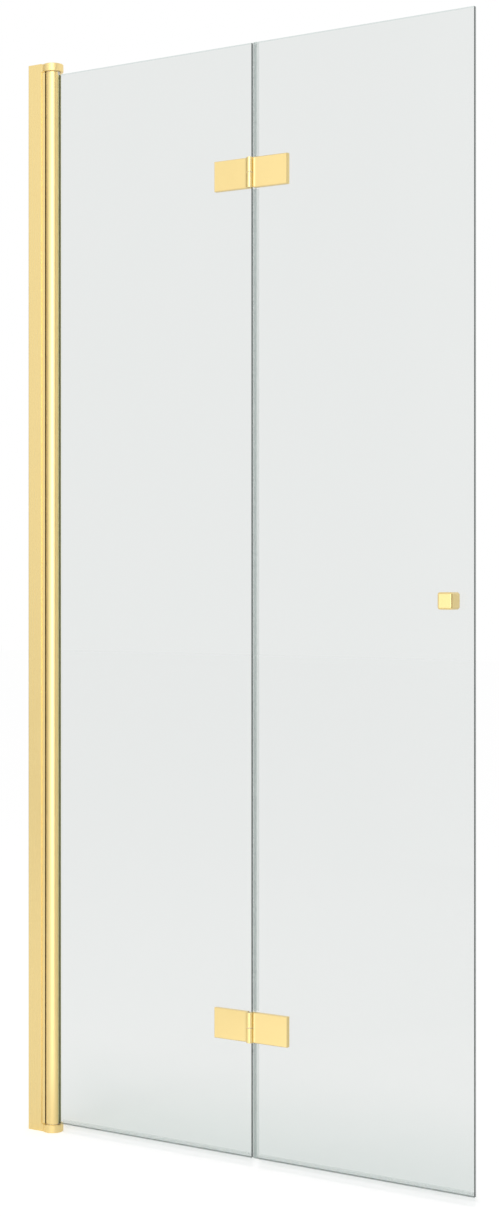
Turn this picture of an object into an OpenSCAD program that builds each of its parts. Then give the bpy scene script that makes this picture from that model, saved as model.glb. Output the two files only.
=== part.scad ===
// Trackless folding shower door for an alcove: a gold wall profile, a round pivot
// post and two clear glass leaves joined by barrel hinges. Millimetres.
// X runs along the closed door, away from the wall. Y runs into the shower.
// Z is up. The origin is where the pivot axis meets the shower tray.

/* [Door] */
// Width of the closed door, from the wall to the free glass edge
door_w = 900; // [800:5:1000]
// Height of the wall profile, which stands on the shower tray
door_h = 1950; // [1800:5:2100]
// Distance from the wall to the pivot axis
pivot_to_wall = 47; // [45:0.5:52]
// Distance from the pivot axis to the fold line between the leaves
pivot_to_fold = 433.2; // [380:0.1:470]

/* [Wall profile] */
// Width of the wall profile along the door
profile_w = 30.5; // [28:0.5:32]
// Depth of the wall profile, front to back
profile_depth = 28; // [27:0.25:29]
// Thickness of the web against the wall
profile_web = 2; // [1.5:0.1:2.5]
// Thickness of the front and back flanges
profile_flange = 1.5; // [1.2:0.1:1.8]
// Radius of the outer corners at the wall
profile_corner_r = 2; // [0.4:0.1:2.4]
// Bevel on the outer edges of the two flanges, beside the nose
profile_lip_bevel = 0.4; // [0.3:0.1:1.1]
// Width of the slots for the wall screws
wall_slot_w = 5.5; // [4.5:0.1:6.5]
// Length of the slots for the wall screws
wall_slot_l = 14; // [10:0.5:20]
// Distance between the highest and the lowest wall slot
outer_slot_pitch = 1700; // [1500:5:1760]
// Distance between the two middle wall slots
inner_slot_pitch = 560; // [300:5:900]

/* [Adjusting profile] */
// Sliding clearance inside the wall profile, on each side
slide_gap = 0.2; // [0.1:0.05:0.4]
// Thickness of the adjusting profile's flanges
adjust_wall = 1.3; // [1.1:0.1:1.6]
// Thickness of the hollow nose beside the post
nose_wall = 1.8; // [1.5:0.1:2.2]
// Clearance between the hollow nose and the turning post
nose_gap = 1.4; // [0.6:0.1:1.4]
// Free room for screw heads between the web and the adjusting profile
screw_head_room = 5; // [4:0.5:6]
// Distance from the pivot axis to the screw ports
port_to_pivot = 24; // [23:0.5:25]
// Distance of each screw port from the middle of the profile
port_offset = 7.4; // [7:0.1:7.6]
// How far the wall of a screw port runs into the flange beside it
port_sink = 0.2; // [0.1:0.05:0.4]
// Wall of the groove that holds the wiper strip
groove_wall = 1.1; // [0.8:0.1:1.4]

/* [Adjusting screws] */
// Shank diameter of the three screws that fix the adjusting profile
adjust_screw_d = 4; // [3.5:0.1:4.2]
// Head diameter of the adjusting screws
adjust_head_d = 7.6; // [7:0.1:8.2]
// Head height of the adjusting screws
adjust_head_h = 2.2; // [1.8:0.1:2.6]
// Distance from the wall to the adjusting screws
adjust_screw_from_wall = 13; // [12:0.5:14]
// How far the adjusting screws reach past the inner flange
adjust_screw_bite = 4; // [3:0.5:6]
// Length of the cross slots in the adjusting screws
cross_slot_l = 4.6; // [3.5:0.1:5.5]
// Width of the cross slots in the adjusting screws
cross_slot_w = 1; // [0.8:0.1:1.4]
// Distance between neighbouring adjusting screws
adjust_screw_pitch = 775; // [600:5:850]
// Wall thickness of the snap caps over the screw heads
snap_cap_wall = 0.9; // [0.7:0.1:1.2]

/* [Pivot brackets] */
// Diameter of the round collars above and below the post
collar_d = 37.4; // [36:0.1:40]
// Height of each collar
collar_h = 14; // [13:0.5:18]
// Bevel on the rims of the collars
collar_bevel = 0.8; // [0.4:0.1:1.2]
// Radius of the hollow blend between collar and neck
collar_blend_r = 4; // [3:0.25:5]
// How far the wall profile stands above the upper collar
profile_over_collar = 1.2; // [1:0.1:2]
// Diameter of the screws that fix the brackets
bracket_screw_d = 4; // [3.5:0.1:4.2]
// Length of the screws that fix the brackets
bracket_screw_l = 28; // [24:0.5:34]
// Width of the sockets in the bracket screws
bracket_socket_w = 2.6; // [2:0.1:3]

/* [Pivot] */
// Diameter of the two pivot pins
pivot_pin_d = 6; // [5:0.1:6.4]
// Depth of each pin in its bracket
pin_in_bracket = 11; // [9:0.5:12]
// Length of each pin inside the post
pin_in_post = 18; // [14:0.5:24]
// Thickness of the wall of the plastic bushes
bush_wall = 0.9; // [0.7:0.05:1.1]
// Thickness of the flange of the plastic bushes
bush_flange_t = 0.6; // [0.6:0.1:1.6]
// Diameter of the flange of the plastic bushes
bush_flange_d = 27; // [18:0.5:27]
// Length of each plastic bush inside the post
bush_l = 16; // [10:0.5:22]
// Bevel on the ends of the pivot pins and the hinge pins
pin_bevel = 0.5; // [0.2:0.1:0.8]
// Clearance between a bush flange and its collar
thrust_gap = 0.2; // [0.1:0.05:0.4]

/* [Post] */
// Outside diameter of the post
post_d = 28; // [27:0.1:29]
// Wall thickness of the post
post_wall = 2; // [1.6:0.1:2.4]
// Wall of the round port in the middle of the post
port_wall = 1.5; // [1.2:0.1:1.6]
// Thickness of the lips and the rib inside the post
post_rib = 1.5; // [1.2:0.1:2]

/* [Glass] */
// Thickness of both panes
glass_t = 6; // [5:0.5:6.5]
// Distance of the lower glass edge above the foot of the post
glass_over_post = 1.2; // [1:0.1:9]
// Distance of the upper glass edge below the top of the wall profile
glass_from_top = 21.4; // [19:0.1:30]
// Gap between the two panes
seam_gap = 4.6; // [4.2:0.1:8]
// Width of the glazing gap on each side of the pane in the post
glazing_gap = 0.8; // [0.7:0.1:1.5]
// How far the glazing gasket stands out of the post
gasket_out = 1.2; // [0.4:0.1:2]
// Thickness of the gasket behind the edge of the pane
gasket_bed = 1.4; // [1:0.1:2]
// Distance of the setting blocks from the surface of the post
block_inset = 1; // [0.5:0.1:3]

/* [Hinges] */
// Height of a hinge
hinge_h = 52; // [44:1:60]
// Width of each hinge plate
plate_w = 67; // [60:0.5:72]
// Thickness of each hinge plate
plate_t = 8.3; // [7.5:0.1:8.6]
// Bevel on the edges of the hinge plates
plate_bevel = 1.1; // [0.5:0.1:1.5]
// Width of the slope that rises from the plate's face towards the barrel
plate_slope_w = 3.8; // [3:0.1:5]
// Height of that slope
plate_slope_h = 0.6; // [0.2:0.05:0.6]
// Bevel on the plate's edge beside the barrel
plate_rim_bevel = 0.5; // [0.2:0.05:0.6]
// Thickness of the clear pads between plate and glass
plate_pad_t = 1; // [0.6:0.1:1.2]
// Diameter of the hinge barrel
barrel_d = 12.1; // [11:0.1:13]
// Distance of the hinge axis in front of the glass
fold_axis_out = 10; // [10:0.1:12]
// Distance of the upper hinge's middle from the upper end of the glass
hinge_from_end = 224.5; // [150:0.5:320]
// Height of the lower hinge's middle above the tray
lower_hinge_z = 241.7; // [165:0.1:340]
// Clearance between the barrel and the other leaf's plate
swing_gap = 0.55; // [0.4:0.05:0.9]
// Diameter of the hinge pins
hinge_pin_d = 6; // [5:0.1:6.5]
// Wall of the plastic sleeves in the upper knuckles
hinge_bush_wall = 0.8; // [0.6:0.05:1]
// Thickness of the plastic washers between the knuckles
knuckle_washer_t = 0.8; // [0.5:0.1:1.2]
// Bevel on the ends of the knuckles
knuckle_bevel = 0.5; // [0.2:0.1:0.8]
// Thickness of the web between a hinge plate and its knuckle
hinge_web_t = 6; // [5:0.1:6.5]
// Distance between the two clamping screws of a plate
clamp_pitch = 28; // [24:0.5:30]

/* [Clamping screws] */
// Diameter of the clamping screws
clamp_screw_d = 6; // [5:0.1:6]
// Depth of a clamping screw in its hinge plate
clamp_screw_bite = 5.5; // [4:0.1:6]
// Free depth of a bore past the end of its screw
bore_end_gap = 0.5; // [0.2:0.1:0.8]
// Width of the sockets in the clamping screws
clamp_socket_w = 4.3; // [3.5:0.1:4.4]
// Diameter of the holes in the glass
glass_hole_d = 16; // [13:0.5:18]
// Diameter of the flat discs behind the glass
disc_d = 22; // [20:0.5:24]
// Thickness of the flat discs behind the glass
disc_t = 3; // [3:0.1:4]
// Thickness of the clear washers under the discs
disc_pad_t = 0.8; // [0.5:0.1:1.2]
// Bevel on the rims of the discs
disc_bevel = 0.6; // [0.3:0.1:1]
// Distance from the edge of a clear pad or washer to the edge of the metal on it
pad_inset = 1; // [0.5:0.1:1.5]

/* [Knob] */
// Width and height of the square knob
knob_w = 28; // [22:0.5:32]
// Depth of the knob in front of its washer
knob_out = 26.5; // [22:0.5:32]
// Bevel on the front edges and the long edges of the knob
knob_bevel = 3; // [1:0.1:4]
// Distance of the knob's middle from the free glass edge
knob_from_edge = 39.8; // [30:0.1:60]
// Height of the knob's middle above the tray
knob_height = 973.5; // [850:0.5:1150]
// Thickness of the clear washer under the knob
knob_pad_t = 1; // [0.6:0.1:1.5]
// Diameter of the glass hole for the knob
knob_hole_d = 12; // [10:0.5:14]
// Diameter of the disc behind the knob
knob_disc_d = 18; // [17:0.5:20]
// Depth of the knob's screw in the knob
knob_screw_bite = 10; // [8:0.5:14]

/* [Seals] */
// Wall thickness of the clear seals
seal_wall = 1; // [0.7:0.1:1.3]
// How far the bottom seals grip the glass
bottom_grip = 7; // [6:0.5:12]
// Clearance of the bottom seals above the tray
seal_floor_gap = 0.5; // [0.3:0.1:2]
// How far the drip lip reaches into the shower
drip_reach = 12; // [8:0.5:15]
// Height of the drip lip's lower edge above the tray
drip_height = 5.2; // [3:0.1:9]
// Distance between the lower collar and the bottom seal
seal_to_collar = 1.3; // [0.8:0.1:3]
// How far the seam seal grips the outer pane
seam_grip = 6; // [5:0.5:10]
// Wall thickness of the seam seal
seam_wall = 0.8; // [0.6:0.1:1]
// Clearance between the seam seal and a hinge, or the bottom seal beside it
seam_end_gap = 0.8; // [0.5:0.1:2]
// Clearance between a soft lip and what it wipes
wipe_gap = 0.3; // [0.2:0.05:0.5]
// Width of the wiper strip beside the post
wiper_w = 2.4; // [1.8:0.1:3]
// Thickness of the wiper's foot in its groove
wiper_foot_t = 2.3; // [1.8:0.1:2.6]
// How far the wiper's foot reaches past the strip on each side
wiper_foot_out = 1.1; // [0.8:0.1:1.4]

/* [Hidden] */
$fn = 72;

gold = [0.94, 0.82, 0.5];
gold_bright = [0.98, 0.87, 0.6];
clear_glass = [0.85, 0.92, 0.9, 0.35];
clear_plastic = [0.9, 0.93, 0.92, 0.6];
dark_plastic = [0.25, 0.25, 0.22];
white_plastic = [0.92, 0.92, 0.9];
steel = [0.7, 0.7, 0.72];

// Clearance of a piece that is seated in another, on each side
seat = 0.05;
// Clearance of a screw or an edge that passes through freely, on each side
free = 0.2;
// Length by which cutting shapes run past the surface that they cut
past = 1;
// The same where another surface lies close behind
past_thin = 0.1;

wall_x = -pivot_to_wall;
free_edge_x = door_w - pivot_to_wall;
half_depth = profile_depth / 2;
flange_end_x = wall_x + profile_w;
post_r = post_d / 2;
collar_r = collar_d / 2;

adjust_half = half_depth - profile_flange - slide_gap;
adjust_back_x = wall_x + profile_web + screw_head_room;
nose_r = post_r + nose_gap;
port_x = -port_to_pivot;
port_hole_d = bracket_screw_d + 2 * seat;
port_r = adjust_half - adjust_wall - port_offset + port_sink;

top_bracket_z1 = door_h - profile_over_collar;
top_bracket_z0 = top_bracket_z1 - collar_h;
adjust_z0 = collar_h + 2 * seat;
adjust_z1 = top_bracket_z0 - 2 * seat;
adjust_screw_x = wall_x + adjust_screw_from_wall;
adjust_screw_zs = [for (i = [-1:1]) door_h / 2 + i * adjust_screw_pitch];

pin_bore_r = pivot_pin_d / 2 + seat;
post_port_r = pin_bore_r + bush_wall + seat;
post_port_outer_r = post_port_r + port_wall;
post_z0 = collar_h + thrust_gap + bush_flange_t;
post_z1 = top_bracket_z0 - thrust_gap - bush_flange_t;

glass_half = glass_t / 2;
glass_z0 = post_z0 + glass_over_post;
glass_z1 = door_h - glass_from_top;
inner_glass_x0 = post_port_outer_r + seat + gasket_bed;
inner_glass_x1 = pivot_to_fold - seam_gap / 2;
outer_glass_x0 = pivot_to_fold + seam_gap / 2;
slot_half = glass_half + glazing_gap;

fold_y = -glass_half - fold_axis_out;
barrel_r = barrel_d / 2;
plate_back_y = -glass_half - plate_pad_t;
plate_front_y = plate_back_y - plate_t;
plate_start = barrel_r + swing_gap;
plate_mid = plate_start + plate_w / 2;
upper_hinge_z = glass_z1 - hinge_from_end;
hinge_zs = [lower_hinge_z, upper_hinge_z];
knuckle_h = (hinge_h - knuckle_washer_t) / 2;
hinge_bore_r = hinge_pin_d / 2 + seat;
hinge_bush_r = hinge_bore_r + hinge_bush_wall;

disc_y0 = glass_half + disc_pad_t;
disc_y1 = disc_y0 + disc_t;
countersink_r = clamp_screw_d;
knob_x = free_edge_x - knob_from_edge;
knob_back_y = -glass_half - knob_pad_t;

inner_seal_x0 = collar_r + seal_to_collar;
outer_seal_x0 = outer_glass_x0 + seam_grip + seam_end_gap;
nose_back_x = -nose_r - nose_wall;
wiper_foot_w = wiper_w + 2 * wiper_foot_out;

// Extrudes a plan shape from one height to another
module up_z(z0, z1) {
  translate([0, 0, z0])
    linear_extrude(z1 - z0)
      children();
}

// Extrudes a section drawn in Y and Z along the door
module along_x(x0, x1) {
  translate([x0, 0, 0])
    rotate([90, 0, 90])
      linear_extrude(x1 - x0)
        children();
}

// Round bar from front to back, centred at x and z
module bar_y(x, z, y0, y1, d) {
  translate([x, y0, z])
    rotate([-90, 0, 0])
      cylinder(d = d, h = y1 - y0);
}

// Cone from front to back, centred at x and z
module cone_y(x, z, y0, y1, d0, d1) {
  translate([x, y0, z])
    rotate([-90, 0, 0])
      cylinder(d1 = d0, d2 = d1, h = y1 - y0);
}

// Round bar with bevelled ends
module bevelled_bar(d, h, bevel) {
  rotate_extrude()
    polygon([
      [0, 0], [d / 2 - bevel, 0], [d / 2, bevel],
      [d / 2, h - bevel], [d / 2 - bevel, h], [0, h]
    ]);
}

// Wall profile: an open channel with slots for the wall screws
module wall_profile_section() {
  difference() {
    translate([wall_x, -half_depth])
      square([profile_w, profile_depth]);
    translate([wall_x + profile_web, -half_depth + profile_flange])
      square([profile_w, profile_depth - 2 * profile_flange]);
    for (side = [-1, 1])
      difference() {
        translate([wall_x - past, side * (half_depth + past) - (profile_corner_r + past) / 2 * (1 + side)])
          square(profile_corner_r + past);
        translate([wall_x + profile_corner_r, side * (half_depth - profile_corner_r)])
          circle(profile_corner_r);
      }
    for (side = [-1, 1])
      translate([flange_end_x, side * half_depth])
        rotate(45)
          square(profile_lip_bevel * sqrt(2), center = true);
  }
}

module wall_slot(z) {
  straight = (wall_slot_l - wall_slot_w) / 2;
  for (side = [-1, 1])
    translate([wall_x - past, 0, z + side * straight])
      rotate([0, 90, 0])
        cylinder(d = wall_slot_w, h = profile_web + 2 * past);
  translate([wall_x - past, -wall_slot_w / 2, z - straight])
    cube([profile_web + 2 * past, wall_slot_w, 2 * straight]);
}

module wall_profile() {
  color(gold)
    difference() {
      up_z(0, door_h)
        wall_profile_section();
      for (pitch = [outer_slot_pitch, inner_slot_pitch], side = [-1, 1])
        wall_slot(door_h / 2 + side * pitch / 2);
      for (z = adjust_screw_zs)
        bar_y(
          adjust_screw_x,
          z,
          half_depth - profile_flange - past_thin,
          half_depth + past,
          adjust_screw_d + 2 * free
        );
    }
}

// Adjusting profile: slides in the wall profile and has a hollow nose round the post
module groove_section() {
  translate([nose_back_x - wiper_foot_t, -wiper_foot_w / 2])
    square([wiper_foot_t, wiper_foot_w]);
  translate([nose_back_x - seat, -wiper_w / 2 - seat])
    square([nose_wall + nose_gap, wiper_w + 2 * seat]);
}

module adjusting_section() {
  difference() {
    union() {
      for (side = [-1, 1]) {
        translate([adjust_back_x, side * adjust_half - adjust_wall / 2 * (1 + side)])
          square([-adjust_back_x, adjust_wall]);
        translate([port_x, side * port_offset])
          circle(port_r);
      }
      intersection() {
        circle(nose_r + nose_wall);
        translate([-2 * nose_r, -adjust_half])
          square([2 * nose_r, 2 * adjust_half]);
      }
      translate([nose_back_x - wiper_foot_t - groove_wall, -wiper_foot_w / 2 - groove_wall])
        square([wiper_foot_t + groove_wall + nose_wall, wiper_foot_w + 2 * groove_wall]);
    }
    circle(nose_r);
    groove_section();
    for (side = [-1, 1])
      translate([port_x, side * port_offset])
        circle(d = port_hole_d);
  }
}

module adjusting_profile() {
  color(gold_bright)
    difference() {
      up_z(adjust_z0, adjust_z1)
        adjusting_section();
      for (z = adjust_screw_zs)
        bar_y(
          adjust_screw_x,
          z,
          adjust_half - adjust_wall - past_thin,
          adjust_half + past_thin,
          adjust_screw_d + 2 * seat
        );
    }
}

// Three screws through the back flanges, inside the shower
module adjusting_screw(z) {
  shank = profile_flange + slide_gap + adjust_wall + adjust_screw_bite;
  difference() {
    union() {
      bar_y(adjust_screw_x, z, half_depth, half_depth + adjust_head_h, adjust_head_d);
      bar_y(adjust_screw_x, z, half_depth - shank, half_depth + adjust_head_h / 2, adjust_screw_d);
    }
    for (turn = [0, 90])
      translate([adjust_screw_x, half_depth + adjust_head_h, z])
        rotate([0, turn, 0])
          cube([cross_slot_l, adjust_head_h, cross_slot_w], center = true);
  }
}

module adjusting_screws() {
  color(steel)
    for (z = adjust_screw_zs)
      adjusting_screw(z);
}

module adjusting_screw_cap(z) {
  inside_d = adjust_head_d + 2 * free;
  inside_h = adjust_head_h + free;
  difference() {
    bar_y(adjust_screw_x, z, half_depth, half_depth + inside_h + snap_cap_wall, inside_d + 2 * snap_cap_wall);
    bar_y(adjust_screw_x, z, half_depth - past, half_depth + inside_h, inside_d);
  }
}

module adjusting_screw_caps() {
  color(gold)
    for (z = adjust_screw_zs)
      adjusting_screw_cap(z);
}

// Pivot bracket: round collar, flush neck and a tongue inside the wall profile
module collar_blend() {
  blend_x = -sqrt(pow(collar_r + collar_blend_r, 2) - pow(half_depth + collar_blend_r, 2));
  blend_y = half_depth + collar_blend_r;
  share = collar_r / (collar_r + collar_blend_r);
  difference() {
    polygon([
      [blend_x, 0], [0, 0],
      [blend_x * share, blend_y * share],
      [blend_x, half_depth]
    ]);
    translate([blend_x, blend_y])
      circle(collar_blend_r);
  }
}

module bracket_plan() {
  neck_x = flange_end_x + free;
  translate([neck_x, -half_depth])
    square([-neck_x - post_r / 2, profile_depth]);
  translate([adjust_back_x, -adjust_half])
    square([neck_x - adjust_back_x + past, 2 * adjust_half]);
  collar_blend();
  mirror([0, 1])
    collar_blend();
}

// Drawn with the face towards the post at z = 0 and the outer face at collar_h
module pivot_bracket() {
  difference() {
    union() {
      up_z(0, collar_h)
        bracket_plan();
      bevelled_bar(collar_d, collar_h, collar_bevel);
    }
    translate([0, 0, -past])
      cylinder(r = pin_bore_r, h = pin_in_bracket + past);
    for (side = [-1, 1])
      translate([port_x, side * port_offset, 0]) {
        translate([0, 0, -past])
          cylinder(d = port_hole_d, h = collar_h + 2 * past);
        translate([0, 0, collar_h - bracket_screw_d / 2 - seat])
          cylinder(d1 = bracket_screw_d, d2 = 2 * bracket_screw_d + 4 * seat, h = bracket_screw_d / 2 + 2 * seat);
      }
  }
}

module top_pivot_bracket() {
  color(gold)
    translate([0, 0, top_bracket_z0])
      pivot_bracket();
}

module bottom_pivot_bracket() {
  color(gold)
    translate([0, 0, collar_h])
      mirror([0, 0, 1])
        pivot_bracket();
}

// Four countersunk screws, drawn with the head's face at z = 0 and the tip below
module bracket_screw() {
  head_h = bracket_screw_d / 2;
  difference() {
    union() {
      translate([0, 0, -head_h])
        cylinder(d1 = bracket_screw_d, d2 = 2 * bracket_screw_d, h = head_h);
      translate([0, 0, -bracket_screw_l])
        cylinder(d = bracket_screw_d, h = bracket_screw_l - head_h / 2);
    }
    translate([0, 0, -head_h / 2])
      cylinder(d = bracket_socket_w, h = head_h, $fn = 6);
  }
}

module bracket_screws() {
  color(steel)
    for (side = [-1, 1])
      translate([port_x, side * port_offset, 0]) {
        translate([0, 0, top_bracket_z1 - seat])
          bracket_screw();
        translate([0, 0, seat])
          mirror([0, 0, 1])
            bracket_screw();
      }
}

// Steel pins on the pivot axis
module pivot_pin() {
  bevelled_bar(pivot_pin_d, pin_in_bracket + pin_in_post, pin_bevel);
}

module top_pivot_pin() {
  color(steel)
    translate([0, 0, top_bracket_z0 - pin_in_post - seat])
      pivot_pin();
}

module bottom_pivot_pin() {
  color(steel)
    translate([0, 0, collar_h - pin_in_bracket + seat])
      pivot_pin();
}

// Soft strip in the nose, which wipes the post
module post_wiper_seal() {
  color(dark_plastic)
    up_z(adjust_z0, adjust_z1)
      difference() {
        union() {
          translate([nose_back_x - wiper_foot_t + seat, -wiper_foot_w / 2 + seat])
            square([wiper_foot_t - 2 * seat, wiper_foot_w - 2 * seat]);
          translate([nose_back_x - 2 * seat, -wiper_w / 2])
            square([nose_wall + nose_gap + past, wiper_w]);
        }
        circle(post_r + wipe_gap);
      }
}

// Cap that closes the top of the wall profile
module profile_top_cap() {
  cap_half = half_depth - profile_flange - 2 * seat;
  color(gold) {
    translate([wall_x + profile_web + 2 * seat, -cap_half, top_bracket_z1 + seat])
      cube([profile_w - profile_web - 4 * seat, 2 * cap_half, profile_over_collar - seat]);
    translate([wall_x + profile_web + 2 * seat, -cap_half, top_bracket_z0])
      cube([screw_head_room - 4 * seat, 2 * cap_half, collar_h + 2 * seat]);
  }
}

// Post: round tube with a port for the bushes and a channel for the pane
module post_section() {
  difference() {
    union() {
      difference() {
        circle(post_r);
        circle(post_r - post_wall);
      }
      circle(post_port_outer_r);
      translate([-post_r + post_wall / 2, -post_rib / 2])
        square([post_r - post_wall / 2, post_rib]);
      intersection() {
        circle(post_r);
        translate([0, -slot_half - post_rib])
          square([post_r, 2 * (slot_half + post_rib)]);
      }
    }
    circle(post_port_r);
    translate([post_port_outer_r, -slot_half])
      square([post_r, 2 * slot_half]);
    difference() {
      translate([0, -slot_half])
        square([post_port_outer_r, 2 * slot_half]);
      circle(post_port_outer_r);
    }
  }
}

module post() {
  color(gold_bright)
    up_z(post_z0, post_z1)
      post_section();
}

// Flanged bush, drawn with the flange's outer face at z = 0 and the sleeve above it
module post_bush() {
  difference() {
    union() {
      cylinder(d = bush_flange_d, h = bush_flange_t - seat);
      cylinder(r = post_port_r - seat, h = bush_flange_t + bush_l);
    }
    translate([0, 0, -past])
      cylinder(r = pin_bore_r, h = bush_flange_t + bush_l + 2 * past);
  }
}

module post_top_bush() {
  color(white_plastic)
    translate([0, 0, top_bracket_z0 - thrust_gap])
      mirror([0, 0, 1])
        post_bush();
}

module post_bottom_bush() {
  color(white_plastic)
    translate([0, 0, collar_h + thrust_gap])
      post_bush();
}

// Gasket folded round the edge of the pane inside the post
module glazing_gasket() {
  gasket_x = post_port_outer_r + seat;
  color(clear_plastic)
    up_z(glass_z0, glass_z1)
      difference() {
        translate([gasket_x, -slot_half + seat])
          square([post_r + gasket_out - gasket_x, 2 * (slot_half - seat)]);
        translate([inner_glass_x0 - seat, -glass_half - seat])
          square([post_r + gasket_out, glass_t + 2 * seat]);
      }
}

// Plastic blocks above and below the pane in the post's channel
module glass_setting_blocks() {
  block_x = post_port_outer_r + free;
  block_w = post_r - block_x - block_inset;
  color(white_plastic) {
    translate([block_x, -slot_half + seat, post_z0])
      cube([block_w, 2 * (slot_half - seat), glass_z0 - post_z0]);
    translate([block_x, -slot_half + seat, glass_z1])
      cube([block_w, 2 * (slot_half - seat), post_z1 - glass_z1]);
  }
}

// A pane with round holes for the clamping screws, given as a list of [x, z, diameter]
module pane(x0, x1, holes) {
  difference() {
    translate([x0, -glass_half, glass_z0])
      cube([x1 - x0, glass_t, glass_z1 - glass_z0]);
    for (hole = holes)
      bar_y(hole[0], hole[1], -glass_half - past, glass_half + past, hole[2]);
  }
}

// Places of the four clamping screws of a leaf: side is -1 for the inner leaf
function clamp_places(side) = [
  for (z = hinge_zs, step = [-0.5, 0.5])
    [pivot_to_fold + side * (plate_mid + step * clamp_pitch), z]
];

module inner_glass() {
  color(clear_glass)
    pane(inner_glass_x0, inner_glass_x1, [for (at = clamp_places(-1)) [at[0], at[1], glass_hole_d]]);
}

module outer_glass() {
  color(clear_glass)
    pane(
      outer_glass_x0,
      free_edge_x,
      concat(
        [for (at = clamp_places(1)) [at[0], at[1], glass_hole_d]],
        [[knob_x, knob_height, knob_hole_d]]
      )
    );
}

// Bottom seal: grips the glass and hangs to the tray, with a drip lip inside
module bottom_seal_section() {
  inside = glass_half + seat;
  outside = inside + seal_wall;
  leg = seal_wall / 2;
  top_z = glass_z0 + bottom_grip;
  bed_z = glass_z0 - seat;
  base_z = bed_z - seal_wall;
  polygon([
    [-leg, seal_floor_gap], [leg, seal_floor_gap], [leg, base_z],
    [outside - seal_wall, base_z], [drip_reach - leg, drip_height],
    [drip_reach, drip_height + leg], [outside, base_z + seal_wall],
    [outside, top_z], [inside, top_z], [inside, bed_z],
    [-inside, bed_z], [-inside, top_z], [-outside, top_z],
    [-outside, base_z], [-leg, base_z]
  ]);
}

module inner_bottom_seal() {
  color(clear_plastic)
    along_x(inner_seal_x0, inner_glass_x1)
      bottom_seal_section();
}

module outer_bottom_seal() {
  color(clear_plastic)
    along_x(outer_seal_x0, free_edge_x)
      bottom_seal_section();
}

// Seam seal: grips the outer pane and closes the gap, cut out at the hinges
module seam_seal_section() {
  half = glass_half + seat + seam_wall;
  base_x = outer_glass_x0 - seat - seam_wall;
  bulb_r = (base_x + seat - inner_glass_x1 - wipe_gap) / 2;
  difference() {
    union() {
      translate([base_x, -half])
        square([seam_grip + seam_wall, 2 * half]);
      translate([base_x + seat - bulb_r, 0])
        circle(bulb_r);
    }
    translate([outer_glass_x0 - seat, -glass_half - seat])
      square([seam_grip + past, glass_t + 2 * seat]);
    translate([base_x + seat - bulb_r, 0])
      circle(bulb_r - seam_wall);
  }
}

module seam_seal() {
  around = hinge_h / 2 + seam_end_gap;
  ends = [
    [glass_z0, lower_hinge_z - around],
    [lower_hinge_z + around, upper_hinge_z - around],
    [upper_hinge_z + around, glass_z1]
  ];
  color(clear_plastic)
    for (end = ends)
      up_z(end[0], end[1])
        seam_seal_section();
}

// Hinge plate plan for the outer leaf, measured from the fold line, with a bevelled
// outer edge and a slope that rises to the edge beside the barrel
module plate_plan() {
  plate_end = plate_start + plate_w;
  rim_y = plate_front_y - plate_slope_h;
  polygon([
    [plate_start, plate_back_y], [plate_start, rim_y + plate_rim_bevel],
    [plate_start + plate_rim_bevel, rim_y],
    [plate_start + plate_slope_w, plate_front_y],
    [plate_end - plate_bevel, plate_front_y],
    [plate_end, plate_front_y + plate_bevel], [plate_end, plate_back_y]
  ]);
}

// Side view of a hinge plate, with bevels above and below that take in the slope
module plate_side() {
  half = hinge_h / 2;
  rim_y = plate_front_y - plate_slope_h;
  bevel = plate_bevel + plate_slope_h;
  polygon([
    [plate_back_y, -half], [rim_y + bevel, -half],
    [rim_y, -half + bevel], [rim_y, half - bevel],
    [rim_y + bevel, half], [plate_back_y, half]
  ]);
}

// Hinge leaf, drawn for the outer leaf with the fold line at x = 0 and the hinge's
// middle at z = 0. The knuckle runs from knuckle_z upwards, with a bore of bore_r.
module hinge_leaf(knuckle_z, bore_r) {
  difference() {
    union() {
      intersection() {
        up_z(-hinge_h / 2, hinge_h / 2)
          plate_plan();
        along_x(0, plate_start + plate_w + past)
          plate_side();
      }
      translate([0, fold_y, knuckle_z])
        bevelled_bar(barrel_d, knuckle_h, knuckle_bevel);
      translate([0, plate_back_y - hinge_web_t, knuckle_z])
        cube([plate_start + plate_slope_w, hinge_web_t, knuckle_h]);
    }
    translate([0, fold_y, knuckle_z - past])
      cylinder(r = bore_r, h = knuckle_h + 2 * past);
    for (step = [-0.5, 0.5])
      bar_y(
        plate_mid + step * clamp_pitch,
        0,
        plate_back_y - clamp_screw_bite - bore_end_gap,
        plate_back_y + past,
        clamp_screw_d + 2 * seat
      );
  }
}

// The outer leaf carries the upper knuckles, with plastic sleeves in them
module outer_plate(z) {
  color(gold_bright)
    translate([pivot_to_fold, 0, z])
      hinge_leaf(knuckle_washer_t / 2, hinge_bush_r + seat);
}

// The inner leaf carries the lower knuckles, which hold the pins
module inner_plate(z) {
  color(gold_bright)
    translate([pivot_to_fold, 0, z])
      mirror([1, 0, 0])
        hinge_leaf(-hinge_h / 2, hinge_bore_r - seat / 2);
}

module upper_hinge_outer_plate() {
  outer_plate(upper_hinge_z);
}

module lower_hinge_outer_plate() {
  outer_plate(lower_hinge_z);
}

module upper_hinge_inner_plate() {
  inner_plate(upper_hinge_z);
}

module lower_hinge_inner_plate() {
  inner_plate(lower_hinge_z);
}

module hinge_pin(z) {
  pin_l = hinge_h - 2 * pin_bevel;
  color(steel)
    translate([pivot_to_fold, fold_y, z - pin_l / 2])
      bevelled_bar(hinge_pin_d, pin_l, pin_bevel);
}

module upper_hinge_pin() {
  hinge_pin(upper_hinge_z);
}

module lower_hinge_pin() {
  hinge_pin(lower_hinge_z);
}

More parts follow.
